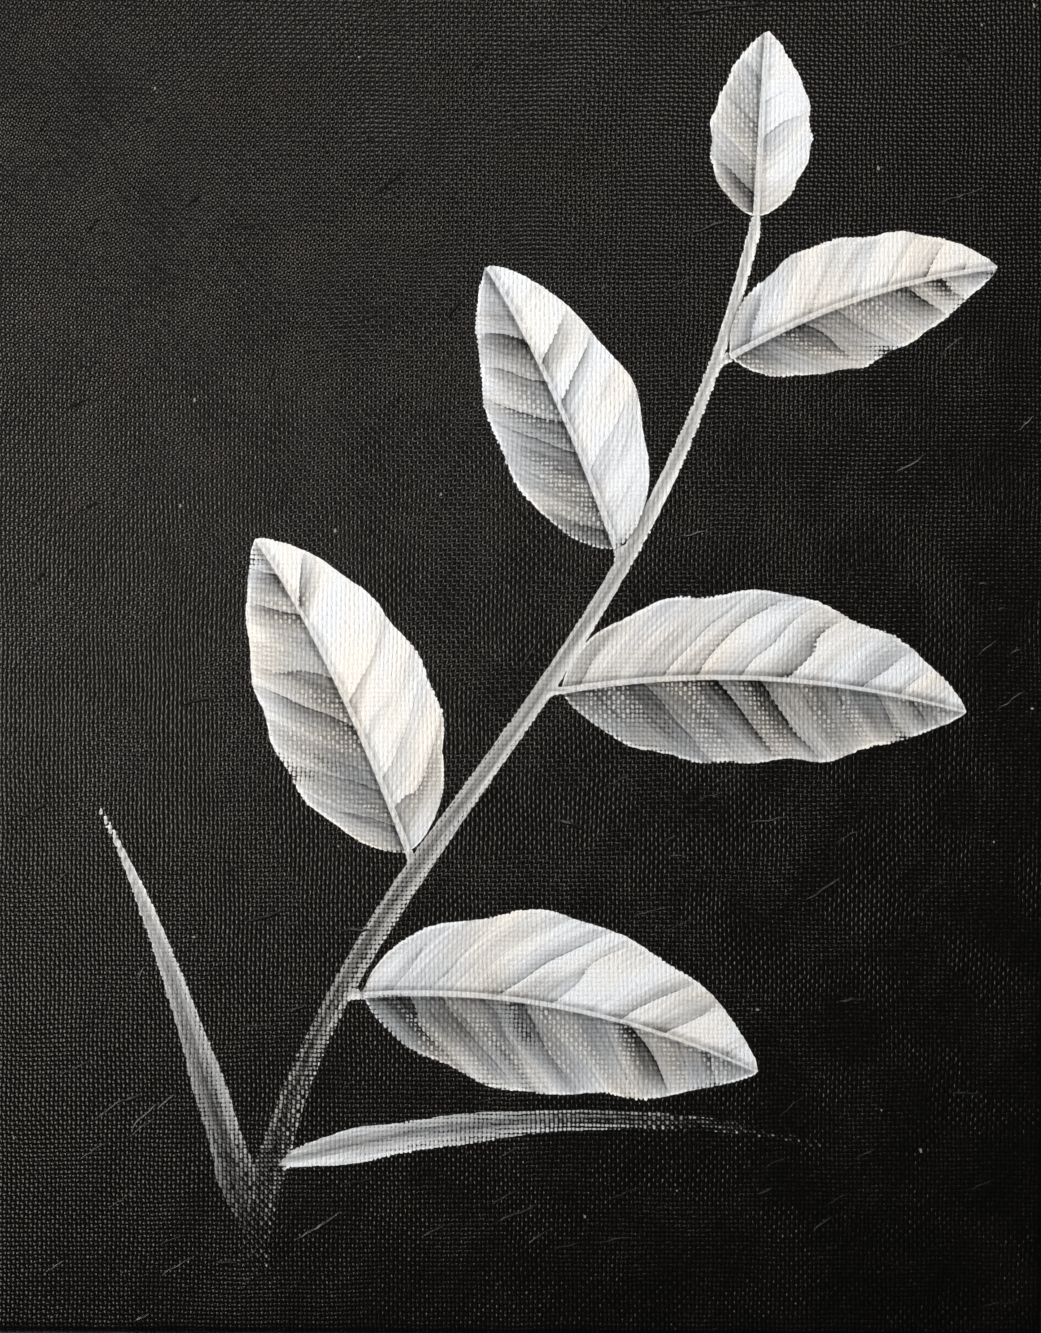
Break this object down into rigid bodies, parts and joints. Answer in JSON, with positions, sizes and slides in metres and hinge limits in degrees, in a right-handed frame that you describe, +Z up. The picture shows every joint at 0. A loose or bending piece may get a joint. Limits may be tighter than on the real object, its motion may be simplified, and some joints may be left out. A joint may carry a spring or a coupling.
{
  "type": "painted stretched canvas",
  "caption": "Rectangular painting on cotton cloth stretched over a mitred wooden frame with corner keys, open at the back for a wall nail.",
  "frame": {"origin": "under the middle of the bottom edge, with the depth centred on it", "axes": "+Z up, -Y out of the painted face, +X to the right as one looks at the painting"},
  "size_m": [0.281, 0.0208, 0.3556],
  "materials": {
    "painted_canvas": "satin acrylic over a plain weave",
    "pine": "planed, bare",
    "key_wood": "sawn, bare",
    "staple_steel": "bright"
  },
  "bodies": {
    "root": {"canvas": "painted_canvas", "bar_top": "pine", "bar_right": "pine", "bar_bottom": "pine", "bar_left": "pine", "bar_top_key_right": "key_wood", "bar_top_key_left": "key_wood", "bar_right_key_right": "key_wood", "bar_right_key_left": "key_wood", "bar_bottom_key_right": "key_wood", "bar_bottom_key_left": "key_wood", "bar_left_key_right": "key_wood", "bar_left_key_left": "key_wood", "staple_01": "staple_steel", "staple_02": "staple_steel", "staple_03": "staple_steel", "staple_04": "staple_steel", "staple_05": "staple_steel", "staple_06": "staple_steel", "staple_07": "staple_steel", "staple_08": "staple_steel", "staple_09": "staple_steel", "staple_10": "staple_steel", "staple_11": "staple_steel", "staple_12": "staple_steel", "staple_13": "staple_steel", "staple_14": "staple_steel", "staple_15": "staple_steel", "staple_16": "staple_steel", "staple_17": "staple_steel", "staple_18": "staple_steel", "staple_19": "staple_steel", "staple_20": "staple_steel", "staple_21": "staple_steel", "staple_22": "staple_steel", "staple_23": "staple_steel", "staple_24": "staple_steel", "staple_25": "staple_steel", "staple_26": "staple_steel", "staple_27": "staple_steel", "staple_28": "staple_steel"}
  },
  "joints": []
}
